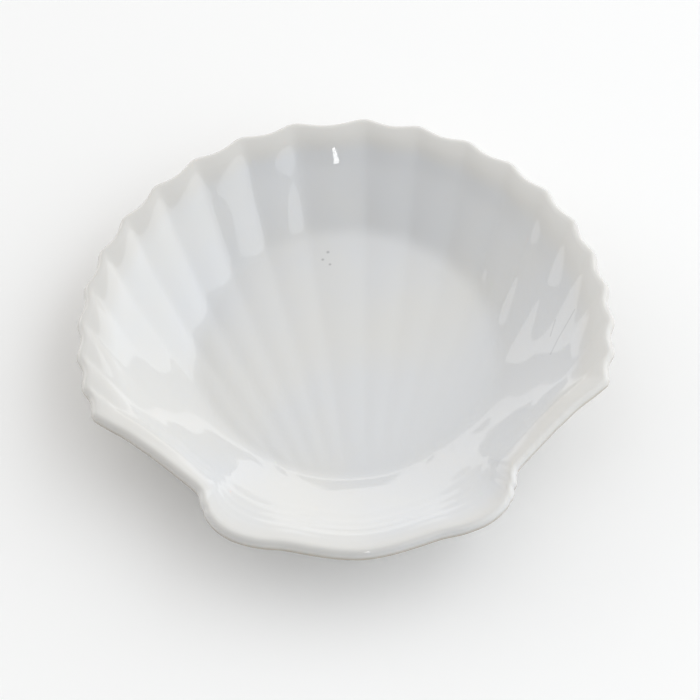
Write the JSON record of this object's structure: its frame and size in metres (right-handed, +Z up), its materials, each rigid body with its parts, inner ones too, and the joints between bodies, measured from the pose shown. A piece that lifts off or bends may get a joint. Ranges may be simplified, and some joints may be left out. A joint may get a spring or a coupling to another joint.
{
  "type": "scallop shell dish",
  "caption": "Shallow porcelain dish in the form of a scallop shell, fluted and scalloped round the fan, with an eared hinge lip to hold it by.",
  "frame": {"origin": "on the surface the dish stands on, below the middle of its length and width", "axes": "+Z up out of the dish; -Y towards the hinge lip; +Y towards the middle of the fan; +X to the right, seen with the lip towards the viewer"},
  "size_m": [0.1398, 0.1378, 0.0222],
  "materials": {
    "porcelain": "clear gloss glaze over white porcelain, with a bare ring where it stands"
  },
  "bodies": {
    "root": {"shell_dish": "porcelain"}
  },
  "joints": []
}
